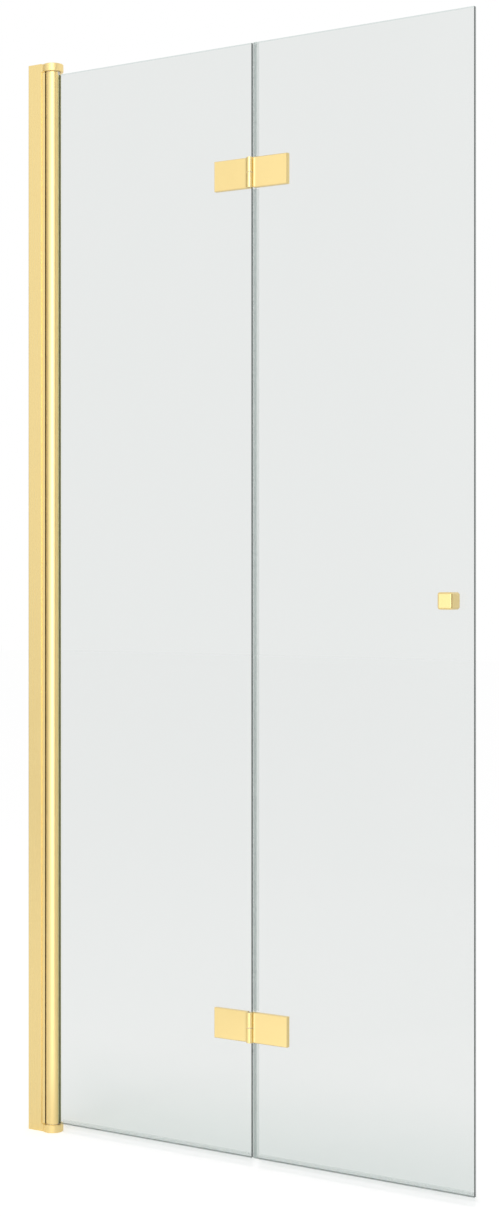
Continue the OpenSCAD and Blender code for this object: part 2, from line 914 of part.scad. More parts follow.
// Plastic sleeve with a washer between the two knuckles
module hinge_bush(z) {
  color(white_plastic)
    translate([pivot_to_fold, fold_y, z])
      difference() {
        union() {
          translate([0, 0, -knuckle_washer_t / 2 + seat])
            cylinder(r = barrel_r - knuckle_bevel, h = knuckle_washer_t - 2 * seat);
          cylinder(r = hinge_bush_r, h = knuckle_h - knuckle_bevel);
        }
        translate([0, 0, -past])
          cylinder(r = hinge_bore_r, h = knuckle_h + past);
      }
}

module upper_hinge_bush() {
  hinge_bush(upper_hinge_z);
}

module lower_hinge_bush() {
  hinge_bush(lower_hinge_z);
}

// Clear pads between the hinge plates and the glass
module hinge_pads(side) {
  mid_x = pivot_to_fold + side * plate_mid;
  color(clear_plastic)
    for (z = hinge_zs)
      difference() {
        translate([mid_x, -glass_half - plate_pad_t / 2, z])
          cube([plate_w - 2 * pad_inset, plate_pad_t, hinge_h - 2 * pad_inset], center = true);
        for (step = [-0.5, 0.5])
          bar_y(
            mid_x + step * clamp_pitch,
            z,
            plate_back_y - past,
            -glass_half + past,
            clamp_screw_d + 2 * free
          );
      }
}

module inner_hinge_pads() {
  hinge_pads(-1);
}

module outer_hinge_pads() {
  hinge_pads(1);
}

// Fastener stack behind the glass: sleeve in the hole, washer, flat disc and screw
module sleeve(x, z, hole_d) {
  difference() {
    bar_y(x, z, -glass_half, glass_half, hole_d - 2 * free);
    bar_y(x, z, -glass_half - past, glass_half + past, clamp_screw_d + 2 * free);
  }
}

module disc_pad(x, z, d) {
  difference() {
    bar_y(x, z, glass_half, disc_y0, d - 2 * pad_inset);
    bar_y(x, z, glass_half - past, disc_y0 + past, clamp_screw_d + 2 * free);
  }
}

module clamp_disc(x, z, d) {
  difference() {
    union() {
      bar_y(x, z, disc_y0, disc_y1 - disc_bevel, d);
      cone_y(x, z, disc_y1 - disc_bevel, disc_y1, d, d - 2 * disc_bevel);
    }
    bar_y(x, z, disc_y0 - past, disc_y1 + past, clamp_screw_d + 2 * seat);
    cone_y(
      x,
      z,
      disc_y1 - countersink_r / 2 - seat,
      disc_y1 + seat,
      clamp_screw_d,
      2 * countersink_r + 4 * seat
    );
  }
}

// Countersunk screw that runs forwards from the disc, as deep as bite in the plate
module clamp_screw(x, z, plate_y, bite) {
  head_y = disc_y1 - seat;
  difference() {
    union() {
      cone_y(x, z, head_y - countersink_r / 2, head_y, clamp_screw_d, 2 * countersink_r);
      bar_y(x, z, plate_y - bite, head_y - countersink_r / 4, clamp_screw_d);
    }
    translate([x, head_y - countersink_r / 3, z])
      rotate([-90, 0, 0])
        cylinder(d = clamp_socket_w, h = countersink_r, $fn = 6);
  }
}

module hinge_sleeves(side) {
  color(clear_plastic)
    for (at = clamp_places(side))
      sleeve(at[0], at[1], glass_hole_d);
}

module hinge_disc_pads(side) {
  color(clear_plastic)
    for (at = clamp_places(side))
      disc_pad(at[0], at[1], disc_d);
}

module hinge_discs(side) {
  color(gold)
    for (at = clamp_places(side))
      clamp_disc(at[0], at[1], disc_d);
}

module hinge_screws(side) {
  color(steel)
    for (at = clamp_places(side))
      clamp_screw(at[0], at[1], plate_back_y, clamp_screw_bite);
}

module inner_hinge_sleeves() {
  hinge_sleeves(-1);
}

module inner_hinge_disc_pads() {
  hinge_disc_pads(-1);
}

module inner_hinge_discs() {
  hinge_discs(-1);
}

module inner_hinge_screws() {
  hinge_screws(-1);
}

module outer_hinge_sleeves() {
  hinge_sleeves(1);
}

module outer_hinge_disc_pads() {
  hinge_disc_pads(1);
}

module outer_hinge_discs() {
  hinge_discs(1);
}

module outer_hinge_screws() {
  hinge_screws(1);
}

// Square knob in front of the outer pane
module knob_outline() {
  half = knob_w / 2;
  front_y = knob_back_y - knob_out;
  polygon([
    [knob_back_y, -half], [front_y + knob_bevel, -half],
    [front_y, -half + knob_bevel], [front_y, half - knob_bevel],
    [front_y + knob_bevel, half], [knob_back_y, half]
  ]);
}

// Square with bevelled corners in X and Z, inset from the knob's outline
module knob_square(inset, y0, y1) {
  half = knob_w / 2 - inset;
  translate([0, y1, 0])
    rotate([90, 0, 0])
      linear_extrude(y1 - y0)
        polygon([
          [half, half - knob_bevel], [half - knob_bevel, half],
          [-half + knob_bevel, half], [-half, half - knob_bevel],
          [-half, -half + knob_bevel], [-half + knob_bevel, -half],
          [half - knob_bevel, -half], [half, -half + knob_bevel]
        ]);
}

module knob() {
  color(gold_bright)
    translate([knob_x, 0, knob_height])
      difference() {
        intersection() {
          along_x(-knob_w / 2, knob_w / 2)
            knob_outline();
          translate([0, 0, -knob_w / 2])
            linear_extrude(knob_w)
              rotate(90)
                mirror([0, 1])
                  knob_outline();
          knob_square(0, knob_back_y - knob_out - past, knob_back_y);
        }
        bar_y(
          0,
          0,
          knob_back_y - knob_screw_bite - bore_end_gap,
          knob_back_y + past,
          clamp_screw_d + 2 * seat
        );
      }
}

module knob_pad() {
  color(clear_plastic)
    difference() {
      translate([knob_x, 0, knob_height])
        knob_square(pad_inset, knob_back_y, -glass_half);
      bar_y(knob_x, knob_height, knob_back_y - past, -glass_half + past, clamp_screw_d + 2 * free);
    }
}

module knob_sleeve() {
  color(clear_plastic)
    sleeve(knob_x, knob_height, knob_hole_d);
}

module knob_disc_pad() {
  color(clear_plastic)
    disc_pad(knob_x, knob_height, knob_disc_d);
}

module knob_disc() {
  color(gold)
    clamp_disc(knob_x, knob_height, knob_disc_d);
}

module knob_screw() {
  color(steel)
    clamp_screw(knob_x, knob_height, knob_back_y, knob_screw_bite);
}

wall_profile();
adjusting_profile();
adjusting_screws();
adjusting_screw_caps();
top_pivot_bracket();
bottom_pivot_bracket();
bracket_screws();
top_pivot_pin();
bottom_pivot_pin();
post_wiper_seal();
profile_top_cap();
post();
post_top_bush();
post_bottom_bush();
glazing_gasket();
glass_setting_blocks();
inner_glass();
inner_bottom_seal();
upper_hinge_inner_plate();
lower_hinge_inner_plate();
upper_hinge_pin();
lower_hinge_pin();
inner_hinge_pads();
inner_hinge_sleeves();
inner_hinge_disc_pads();
inner_hinge_discs();
inner_hinge_screws();
outer_glass();
outer_bottom_seal();
seam_seal();
upper_hinge_outer_plate();
lower_hinge_outer_plate();
upper_hinge_bush();
lower_hinge_bush();
outer_hinge_pads();
outer_hinge_sleeves();
outer_hinge_disc_pads();
outer_hinge_discs();
outer_hinge_screws();
knob();
knob_pad();
knob_sleeve();
knob_disc_pad();
knob_disc();
knob_screw();
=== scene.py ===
import math

import bmesh
import bpy
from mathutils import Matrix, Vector


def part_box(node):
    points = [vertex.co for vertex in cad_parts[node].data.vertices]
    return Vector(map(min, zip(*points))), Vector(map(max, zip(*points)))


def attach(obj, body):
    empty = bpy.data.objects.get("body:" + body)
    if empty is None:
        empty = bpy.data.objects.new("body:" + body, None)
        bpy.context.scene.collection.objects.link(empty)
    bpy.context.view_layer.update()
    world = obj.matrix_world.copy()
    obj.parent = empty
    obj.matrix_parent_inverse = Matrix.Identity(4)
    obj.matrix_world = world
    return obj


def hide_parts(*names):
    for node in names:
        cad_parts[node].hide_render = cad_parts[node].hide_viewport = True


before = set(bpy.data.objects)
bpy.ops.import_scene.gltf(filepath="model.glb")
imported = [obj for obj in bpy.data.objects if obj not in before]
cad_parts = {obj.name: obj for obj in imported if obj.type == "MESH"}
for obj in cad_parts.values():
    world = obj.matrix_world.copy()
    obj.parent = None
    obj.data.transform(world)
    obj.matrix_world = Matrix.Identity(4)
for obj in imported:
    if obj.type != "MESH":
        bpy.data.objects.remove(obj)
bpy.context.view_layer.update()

# Sizes of the door, in metres, as in the part's source
MM = 0.001
DOOR_HEIGHT = 1950 * MM
FOLD_X = 433.2 * MM
FREE_EDGE_X = 853 * MM
GLASS_HALF = 3 * MM
GLASS_FOOT = 16 * MM
INNER_PANE_END = 430.9 * MM
PROFILE_BACK_Y = 14 * MM
ADJUSTING_X = -34 * MM
ADJUSTING_PITCH = 775 * MM
LOWER_HINGE_Z = 241.7 * MM
UPPER_HINGE_Z = 1704.1 * MM
PLATE_MIDDLE = 40.1 * MM
CLAMP_PITCH = 28 * MM
SEAT = 0.05 * MM

# Clear seals under the panes
FIRST_SEAL_START = 20 * MM
SECOND_SEAL_START = 442.3 * MM
SEAL_GRIP = 7 * MM
SEAL_WALL = 1 * MM
SEAL_FOOT = 0.5 * MM
LIP_REACH = 12 * MM
LIP_FOOT = 5.2 * MM
LIP_EDGE = 0.5 * MM
SEAL_ROUNDING = 0.3 * MM

# How the meshes are cleaned and their edges eased
MERGE_REACH = 0.002 * MM
SAME_PLACE = 0.01 * MM
FLAT_ANGLE = math.radians(0.5)
EASED_ANGLE = math.radians(32)
SHARP_ANGLE = math.radians(40)
BROAD_FACE = 45 * MM * MM
ARRIS = 0.8 * MM

# Finishes, with scene-linear colours
GOLD_BRIGHT = (0.925, 0.735, 0.345, 1)
GOLD_DEEP = (0.885, 0.680, 0.295, 1)
WHITE = (1, 1, 1, 1)
GOLD_CLOUDS = 22.0
PLAIN_CLOUDS = 30.0
GRAIN_DEPTH = 0.1 * MM
GLASS_IOR = 1.5


class Wire:
    """An output of a node. Python's operators on wires add Math nodes."""

    def __init__(self, tree, socket):
        self.tree = tree
        self.socket = socket

    def out(self, name):
        return Wire(self.tree, find_socket(self.socket.node.outputs, name))

    def maths(self, operation, first, second):
        return self.tree.add("ShaderNodeMath", {"operation": operation}, {0: first, 1: second})

    def __add__(self, other):
        return self.maths("ADD", self, other)

    def __radd__(self, other):
        return self.maths("ADD", other, self)

    def __sub__(self, other):
        return self.maths("SUBTRACT", self, other)

    def __rsub__(self, other):
        return self.maths("SUBTRACT", other, self)

    def __mul__(self, other):
        return self.maths("MULTIPLY", self, other)

    def __rmul__(self, other):
        return self.maths("MULTIPLY", other, self)

    def at_least(self, other):
        return self.maths("MAXIMUM", self, other)

    def at_most(self, other):
        return self.maths("MINIMUM", self, other)


def find_socket(sockets, key):
    if isinstance(key, int):
        return sockets[key]
    return next(s for s in sockets if key in (s.identifier, s.name))


class Tree:
    """A node tree in the making, for a finish, a light, the studio or a shape."""

    def __init__(self, node_tree):
        self.nodes = node_tree.nodes
        self.links = node_tree.links
        self.nodes.clear()

    def add(self, kind, settings=None, inputs=None, output=0):
        """A node of a kind, with its settings first and then the values or wires of its sockets."""
        node = self.nodes.new(kind)
        for name, value in (settings or {}).items():
            setattr(node, name, value)
        for key, value in (inputs or {}).items():
            socket = find_socket(node.inputs, key)
            if isinstance(value, Wire):
                self.links.new(value.socket, socket)
            else:
                socket.default_value = value
        return Wire(self, find_socket(node.outputs, output)) if node.outputs else None


def new_finish(name):
    material = bpy.data.materials.new(name)
    material.use_nodes = True
    return material, Tree(material.node_tree)


def noise(tree, where, scale, detail=3.0, stretch=(1, 1, 1)):
    """Grain on the piece itself. A stretch below 1 draws it out along that axis."""
    drawn = tree.add("ShaderNodeMapping", None, {"Vector": where, "Scale": stretch})
    return tree.add("ShaderNodeTexNoise", None, {"Vector": drawn, "Scale": scale, "Detail": detail})


def blend(tree, factor, low, high):
    inputs = {"Factor_Float": factor, "A_Color": low, "B_Color": high}
    return tree.add("ShaderNodeMix", {"data_type": "RGBA"}, inputs, "Result_Color")


def grain_relief(tree, strength, height):
    inputs = {"Strength": strength, "Distance": GRAIN_DEPTH, "Height": height}
    return tree.add("ShaderNodeBump", None, inputs)


def gold_finish(name, stretch, scale, roughness, relief):
    """Gold-plated metal with a fine drawn or brushed grain and faint cloudy handling marks."""
    material, tree = new_finish(name)
    where = tree.add("ShaderNodeTexCoord", None, None, "Object")
    lines = noise(tree, where, scale, stretch=stretch)
    clouds = noise(tree, where, GOLD_CLOUDS, detail=2.0)
    colour = blend(tree, lines * 0.7 + clouds * 0.3, GOLD_DEEP, GOLD_BRIGHT)
    sheen = lines * 0.10 + clouds * 0.08 + (roughness - 0.09)
    bump = grain_relief(tree, relief, lines)
    metal = tree.add("ShaderNodeBsdfPrincipled", None, {
        "Base Color": colour, "Metallic": 1.0, "Roughness": sheen, "Normal": bump,
    })
    tree.add("ShaderNodeOutputMaterial", None, {"Surface": metal})
    return material


def plain_finish(name, dark, light, scale, roughness, relief, metallic=0.0):
    """Steel, rubber or plastic: two close shades in a fine grain that also sets gloss and relief."""
    material, tree = new_finish(name)
    where = tree.add("ShaderNodeTexCoord", None, None, "Object")
    speckle = noise(tree, where, scale)
    clouds = noise(tree, where, PLAIN_CLOUDS, detail=2.0)
    bump = grain_relief(tree, relief, speckle)
    body = tree.add("ShaderNodeBsdfPrincipled", None, {
        "Base Color": blend(tree, speckle * 0.5 + clouds * 0.5, dark, light),
        "Metallic": metallic,
        "Roughness": speckle * 0.12 + clouds * 0.08 + (roughness - 0.1),
        "Normal": bump,
    })
    tree.add("ShaderNodeOutputMaterial", None, {"Surface": body})
    return material


def place_along(tree, where, axis):
    return tree.add("ShaderNodeSeparateXYZ", None, {"Vector": where}, axis)


def ramp(tree, value, start, end):
    """0 at the start, 1 at the end, eased between them."""
    inputs = {"Value": value, "From Min": start, "From Max": end}
    return tree.add("ShaderNodeMapRange", {"interpolation_type": "SMOOTHSTEP"}, inputs)


def painted_shade_near_the_tray(tree, where):
    """Painted shade: a film that thickens over the lowest 20 cm of a pane, less so close to the post."""
    past_the_post = ramp(tree, place_along(tree, where, "X"), 0.0, 0.13)
    lowest = ramp(tree, place_along(tree, where, "Z"), 0.20, 0.0)
    return lowest * (past_the_post * 0.05 + 0.04)


def painted_shade_on_front_arris(tree, where):
    """Painted shade on a ground edge, darkest along its front arris."""
    return ramp(tree, place_along(tree, where, "Y"), GLASS_HALF, -GLASS_HALF) * 0.75


def clear_finish(name, tint, film, film_colour, roughness, gloss, scale, film_change=0.3, shade_to_paint=None):
    """Something seen through: a tint, a faint film that varies, and a sharp gloss on the near face."""
    material, tree = new_finish(name)
    where = tree.add("ShaderNodeTexCoord", None, None, "Object")
    marks = noise(tree, where, scale)
    fresnel = tree.add("ShaderNodeFresnel", None, {"IOR": GLASS_IOR})
    behind = tree.add("ShaderNodeNewGeometry", None, None, "Backfacing")
    through = tree.add("ShaderNodeBsdfTransparent", None, {"Color": tint})
    paler = [min(1, 1.3 * part) for part in film_colour]
    haze = tree.add("ShaderNodeBsdfPrincipled", None, {
        "Base Color": blend(tree, marks, film_colour, paler),
        "Roughness": roughness,
    })
    shine = tree.add("ShaderNodeBsdfGlossy", None, {"Color": WHITE, "Roughness": roughness * 0.1})
    density = marks * (2 * film * film_change) + film * (1 - film_change)
    # An optional painted shade thickens the film where a finish asks for it.
    if shade_to_paint:
        density = density + shade_to_paint(tree, where)
    body = tree.add("ShaderNodeMixShader", None, {0: density, 1: through, 2: haze})
    reflection = (fresnel * gloss).at_most(1.0) * (1 - behind)
    surface = tree.add("ShaderNodeMixShader", None, {0: reflection, 1: body, 2: shine})
    tree.add("ShaderNodeOutputMaterial", None, {"Surface": surface})
    return material


# Metal
along_z = (1, 1, 0.004)
along_x = (0.06, 1, 1)
even = (1, 1, 1)
profile_gold = gold_finish("drawn_gold", along_z, scale=1600.0, roughness=0.27, relief=0.12)
post_gold = gold_finish("tube_gold", along_z, scale=2200.0, roughness=0.33, relief=0.08)
collar_gold = gold_finish("satin_gold", even, scale=1400.0, roughness=0.40, relief=0.05)
fitting_gold = gold_finish("brushed_gold", along_x, scale=2600.0, roughness=0.30, relief=0.06)
steel = plain_finish(
    "turned_steel", dark=(0.42, 0.42, 0.43, 1), light=(0.62, 0.62, 0.63, 1),
    scale=900.0, roughness=0.3, relief=0.15, metallic=1.0,
)

# Rubber and plastic
dark_seal = plain_finish(
    "brown_rubber", dark=(0.050, 0.032, 0.010, 1), light=(0.085, 0.056, 0.020, 1),
    scale=1500.0, roughness=0.6, relief=0.3,
)
white_plastic = plain_finish(
    "white_nylon", dark=(0.70, 0.70, 0.67, 1), light=(0.82, 0.82, 0.80, 1),
    scale=1200.0, roughness=0.42, relief=0.2,
)
clear_seal = clear_finish(
    "clear_vinyl", tint=(0.982, 0.986, 0.985, 1), film=0.03, film_colour=(0.55, 0.60, 0.59, 1),
    roughness=0.25, gloss=0.7, scale=120.0,
)
# A darker copy of the clear vinyl: painted shade in the gap between the panes.
shaded_seam_vinyl = clear_finish(
    "clear_seam_vinyl_painted_shade", tint=(0.945, 0.955, 0.952, 1), film=0.05, film_colour=(0.45, 0.50, 0.49, 1),
    roughness=0.25, gloss=0.7, scale=120.0,
)
# Clear vinyl whose olive film is painted: the gold of the post's slot seen through it, in shade.
gasket_with_painted_gold_shade = clear_finish(
    "gasket_vinyl_painted_gold_shade", tint=(0.90, 0.88, 0.70, 1), film=0.75, film_colour=(0.64, 0.61, 0.34, 1),
    roughness=0.3, gloss=0.5, scale=200.0, film_change=0.1,
)
clear_pad = clear_finish(
    "clear_pad_plastic", tint=(0.93, 0.94, 0.94, 1), film=0.10, film_colour=(0.45, 0.48, 0.47, 1),
    roughness=0.3, gloss=1.0, scale=200.0,
)

# Glass, and its ground edges in lit and shaded copies of one finish: painted light and painted shade
# The pane glass darkens near the tray: painted shade.
clear_glass = clear_finish(
    "pane_glass", tint=(0.909, 0.9155, 0.912, 1), film=0.02, film_colour=(0.30, 0.48, 0.43, 1),
    roughness=0.05, gloss=0.25, scale=9.0, shade_to_paint=painted_shade_near_the_tray,
)
# A darker copy of the ground edge: painted shade on the edges that face +x and down.
shaded_glass_edge = clear_finish(
    "ground_edge_painted_shade", tint=(0.50, 0.53, 0.52, 1), film=0.20, film_colour=(0.03, 0.042, 0.04, 1),
    roughness=0.2, gloss=1.0, scale=300.0, film_change=0.1, shade_to_paint=painted_shade_on_front_arris,
)
# A paler copy of the ground edge: painted light on the top arrises.
lit_glass_top_edge = clear_finish(
    "ground_end_painted_light", tint=(0.86, 0.90, 0.89, 1), film=0.12, film_colour=(0.45, 0.52, 0.50, 1),
    roughness=0.2, gloss=1.0, scale=300.0, film_change=0.1,
)
# A lighter copy of the ground edge: painted reflection on the edges that face -x.
lit_glass_fold_edge = clear_finish(
    "ground_fold_edge_painted_light", tint=(0.74, 0.78, 0.77, 1), film=0.15, film_colour=(0.20, 0.24, 0.23, 1),
    roughness=0.2, gloss=1.0, scale=300.0, film_change=0.1,
)


def in_place(piece, node, body):
    """A finished piece rides on its body and stands for its CAD node, which is hidden."""
    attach(piece, body)
    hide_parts(node)


def new_piece(name, mesh, *finishes):
    mesh.name = name
    if tuple(mesh.materials) != finishes:
        mesh.materials.clear()
        for finish in finishes:
            mesh.materials.append(finish)
    piece = bpy.data.objects.new(name, mesh)
    bpy.context.scene.collection.objects.link(piece)
    return piece


def plain_mesh(piece):
    """The piece with its modifiers worked into its mesh."""
    bpy.context.view_layer.update()
    graph = bpy.context.evaluated_depsgraph_get()
    mesh = bpy.data.meshes.new_from_object(piece.evaluated_get(graph))
    piece.modifiers.clear()
    piece.data = mesh
    return piece


def merged_copy(node):
    """The mesh of a CAD node with its triangles joined into closed shells and whole faces.
    The edges between broad faces are marked sharp, so that these faces shade flat."""
    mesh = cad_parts[node].data.copy()
    normals = mesh.attributes.get("custom_normal")
    if normals:
        mesh.attributes.remove(normals)
    work = bmesh.new()
    work.from_mesh(mesh)
    bmesh.ops.remove_doubles(work, verts=work.verts, dist=MERGE_REACH)
    bmesh.ops.dissolve_limit(work, angle_limit=FLAT_ANGLE, verts=work.verts, edges=work.edges)
    for edge in work.edges:
        if all(face.calc_area() > BROAD_FACE for face in edge.link_faces):
            edge.smooth = False
    work.to_mesh(mesh)
    work.free()
    return mesh


def softened(name, node, body, finish, radius, steps=2):
    """A CAD node with its sharp edges eased, as tumbled or polished metal has them. Where the
    easing would push a point out of the node's box, the point is set back on it."""
    piece = new_piece(name, merged_copy(node), finish)
    piece.data.shade_smooth()
    ease = piece.modifiers.new("eased_edges", "BEVEL")
    ease.width = radius
    ease.segments = steps
    ease.limit_method = "ANGLE"
    ease.angle_limit = EASED_ANGLE
    ease.use_clamp_overlap = True
    ease.harden_normals = True
    plain_mesh(piece)
    low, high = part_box(node)
    for vert in piece.data.vertices:
        vert.co = [min(max(part, least), most) for part, least, most in zip(vert.co, low, high)]
    in_place(piece, node, body)


# Picks the edge finish by the way a face points: painted light on top and facing -x, painted shade
# elsewhere.
def finish_of_pane_face(face):
    if abs(face.normal.y) > 0.99:
        return clear_glass
    if face.normal.z > 0.5:
        return lit_glass_top_edge
    if face.normal.x < -0.5:
        return lit_glass_fold_edge
    return shaded_glass_edge


def pane(name, node, body):
    """A glass pane with ground arrises: its edges take finishes of their own."""
    finishes = (clear_glass, shaded_glass_edge, lit_glass_top_edge, lit_glass_fold_edge)
    piece = new_piece(name, merged_copy(node), *finishes)
    low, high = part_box(node)
    work = bmesh.new()
    work.from_mesh(piece.data)

    def on_border(vert):
        at_side = min(abs(vert.co.x - low.x), abs(vert.co.x - high.x)) < SAME_PLACE
        at_end = min(abs(vert.co.z - low.z), abs(vert.co.z - high.z)) < SAME_PLACE
        return at_side or at_end

    border = [edge for edge in work.edges if all(on_border(vert) for vert in edge.verts)]
    bmesh.ops.bevel(work, geom=border, offset=ARRIS, segments=1, affect="EDGES")
    for face in work.faces:
        face.material_index = finishes.index(finish_of_pane_face(face))
    work.to_mesh(piece.data)
    work.free()
    in_place(piece, node, body)


def eased(outline, radius, steps=3, side_share=0.4):
    """A closed outline of points with each corner turned into a small arc, which takes up no
    more than a share of the sides it joins."""
    points = []
    count = len(outline)
    for index in range(count):
        corner = Vector(outline[index])
        before = Vector(outline[index - 1]) - corner
        after = Vector(outline[(index + 1) % count]) - corner
        reach = min(radius, side_share * before.length, side_share * after.length)
        start = corner + before.normalized() * reach
        end = corner + after.normalized() * reach
        for step in range(steps + 1):
            share = step / steps
            points.append(start.lerp(corner, share).lerp(corner.lerp(end, share), share))
    return points


def new_shape_tree(name, inputs):
    """A Geometry Nodes tree with named inputs, and the wires that lead from them."""
    group = bpy.data.node_groups.new(name, "GeometryNodeTree")
    group.interface.new_socket("Geometry", in_out="INPUT", socket_type="NodeSocketGeometry")
    for label, kind in inputs.items():
        group.interface.new_socket(label, in_out="INPUT", socket_type=kind)
    group.interface.new_socket("Geometry", in_out="OUTPUT", socket_type="NodeSocketGeometry")
    tree = Tree(group)
    return group, tree, tree.add("NodeGroupInput")


def end_shape_tree(tree, geometry, finish):
    single = tree.add("GeometryNodeRealizeInstances", None, {"Geometry": geometry})
    faced = tree.add("GeometryNodeSetMaterial", None, {"Geometry": single, "Material": finish})
    tree.add("NodeGroupOutput", None, {"Geometry": faced})


def apply_shape_tree(name, mesh, group, finish, values):
    """An object that the tree shapes, turned into a plain mesh."""
    values = {"Finish": finish, **values}
    piece = new_piece(name, mesh, finish)
    modifier = piece.modifiers.new(group.name, "NODES")
    modifier.node_group = group
    for item in group.interface.items_tree:
        if item.in_out == "INPUT" and item.name in values:
            modifier[item.identifier] = values[item.name]
    return plain_mesh(piece)


def setting_out_tree():
    """Sets one fastener out in columns and rows."""
    group, tree, given = new_shape_tree("setting_out", {
        "Fastener": "NodeSocketObject",
        "Columns": "NodeSocketInt",
        "Rows": "NodeSocketInt",
        "First place": "NodeSocketVector",
        "Column step": "NodeSocketVector",
        "Row step": "NodeSocketVector",
        "Finish": "NodeSocketMaterial",
    })
    row = tree.add("GeometryNodeMeshLine", None, {
        "Count": given.out("Columns"),
        "Start Location": given.out("First place"),
        "Offset": given.out("Column step"),
    })
    column = tree.add("GeometryNodeMeshLine", None, {
        "Count": given.out("Rows"),
        "Offset": given.out("Row step"),
    })
    lines = tree.add("GeometryNodeInstanceOnPoints", None, {"Points": row, "Instance": column})
    places = tree.add("GeometryNodeRealizeInstances", None, {"Geometry": lines})
    fastener = tree.add("GeometryNodeObjectInfo", None, {"Object": given.out("Fastener")}, "Geometry")
    set_out = tree.add("GeometryNodeInstanceOnPoints", None, {"Points": places, "Instance": fastener})
    end_shape_tree(tree, set_out, given.out("Finish"))
    return group


def drawn_section_tree():
    """Draws a section along every edge of a guide mesh."""
    group, tree, given = new_shape_tree("drawn_section", {
        "Section": "NodeSocketObject",
        "Finish": "NodeSocketMaterial",
    })
    path = tree.add("GeometryNodeMeshToCurve", None, {"Mesh": given.out("Geometry")})
    upright = tree.add("GeometryNodeSetCurveNormal", None, {"Curve": path})
    section = tree.add("GeometryNodeObjectInfo", None, {"Object": given.out("Section")}, "Geometry")
    outline = tree.add("GeometryNodeMeshToCurve", None, {"Mesh": section})
    strip = tree.add("GeometryNodeCurveToMesh", None, {
        "Curve": upright, "Profile Curve": outline, "Fill Caps": True,
    })
    smooth = tree.add("GeometryNodeSetShadeSmooth", None, {"Geometry": strip, "Shade Smooth": True})
    end_shape_tree(tree, smooth, given.out("Finish"))
    return group


setting_out = setting_out_tree()
drawn_section = drawn_section_tree()


def mesh_of(name, points, edges=(), faces=()):
    mesh = bpy.data.meshes.new(name)
    mesh.from_pydata(points, edges, faces)
    return mesh


def turned(name, outline, steps=48):
    """A piece turned about a bar from front to back. The outline runs from the axis and back
    to it, as (radius, y) points, with the number of sides where it is not round."""
    points = []
    faces = []
    for radius, y, *sides in outline:
        for step in range(steps):
            angle = math.tau * step / steps
            reach = radius
            if sides:
                half = math.pi / sides[0]
                reach = radius / math.cos((angle % (2 * half)) - half)
            points.append((reach * math.cos(angle), y, reach * math.sin(angle)))
    rings = len(outline)
    for ring in range(rings - 1):
        for step in range(steps):
            following = (step + 1) % steps
            faces.append((
                ring * steps + step, ring * steps + following,
                (ring + 1) * steps + following, (ring + 1) * steps + step,
            ))
    mesh = mesh_of(name, points, (), faces)
    work = bmesh.new()
    work.from_mesh(mesh)
    bmesh.ops.remove_doubles(work, verts=work.verts, dist=MERGE_REACH)
    bmesh.ops.recalc_face_normals(work, faces=work.faces)
    work.to_mesh(mesh)
    work.free()
    mesh.shade_smooth()
    mesh.set_sharp_from_angle(angle=SHARP_ANGLE)
    return bpy.data.objects.new(name + "_pattern", mesh)


def set_out(name, pattern, places, node, body, slot, finish):
    """One fastener set out in the columns and rows that the places give."""
    values = {"Fastener": pattern, **places}
    piece = apply_shape_tree(name, bpy.data.meshes.new(name), setting_out, finish, values)
    in_place(piece, node, body)


def drawn(name, section, start_x, end_x, node, body, slot, finish):
    """A section of (y, z) points drawn out along the door."""
    guide = mesh_of(name, [(start_x, 0, 0), (end_x, 0, 0)], [(0, 1)])
    outline = mesh_of(
        name + "_section",
        [(-y, -z, 0) for y, z in section],
        [(index, (index + 1) % len(section)) for index in range(len(section))],
    )
    pattern = bpy.data.objects.new(name + "_section", outline)
    piece = apply_shape_tree(name, guide, drawn_section, finish, {"Section": pattern})
    piece.data.set_sharp_from_angle(angle=SHARP_ANGLE)
    in_place(piece, node, body)


def in_mm(outline):
    """Turns an outline for a turned piece from millimetres into metres."""
    return [(radius * MM, y * MM, *sides) for radius, y, *sides in outline]


# Wall side
softened("wall_channel", "wall_profile", "frame", profile_gold, 0.25 * MM)
softened("sliding_profile", "adjusting_profile", "frame", profile_gold, 0.15 * MM)
softened("channel_cap", "profile_top_cap", "frame", profile_gold, 0.2 * MM)
for place in ("top", "bottom"):
    softened(
        place + "_collar", place + "_pivot_bracket", "frame", collar_gold, 0.35 * MM
    )

# First leaf and second leaf
softened("pivot_post", "post", "inner_leaf", post_gold, 0.15 * MM)
pane("first_pane", "inner_glass", "inner_leaf")
pane("second_pane", "outer_glass", "outer_leaf")
for place in ("upper", "lower"):
    for leaf in ("inner", "outer"):
        softened(
            f"{place}_{leaf}_hinge_plate", f"{place}_hinge_{leaf}_plate", leaf + "_leaf",
            fitting_gold, 0.4 * MM, 3,
        )
softened("square_knob", "knob", "outer_leaf", fitting_gold, 0.5 * MM, 3)

# Snap caps over the adjusting screws, with a low dome, in millimetres
CAP_R = 4.9
CAP_BORE_R = 4.0
CAP_ROOM = 2.4
CAP_HEIGHT = 3.3
snap_cap = turned("snap_cap", in_mm([
    (0, CAP_ROOM), (CAP_BORE_R, CAP_ROOM), (CAP_BORE_R, 0), (CAP_R, 0),
    (CAP_R, CAP_HEIGHT - 1), (CAP_R - 0.1, CAP_HEIGHT - 0.55), (CAP_R - 0.4, CAP_HEIGHT - 0.22),
    (CAP_R - 1, CAP_HEIGHT - 0.08), (CAP_R - 2.3, CAP_HEIGHT - 0.02), (0, CAP_HEIGHT),
]))
set_out("snap_caps", snap_cap, {
    "Columns": 1,
    "Rows": 3,
    "First place": (ADJUSTING_X, PROFILE_BACK_Y, DOOR_HEIGHT / 2 - ADJUSTING_PITCH),
    "Column step": (0, 0, 0),
    "Row step": (0, 0, ADJUSTING_PITCH),
}, "adjusting_screw_caps", "frame", "profile_gold", profile_gold)

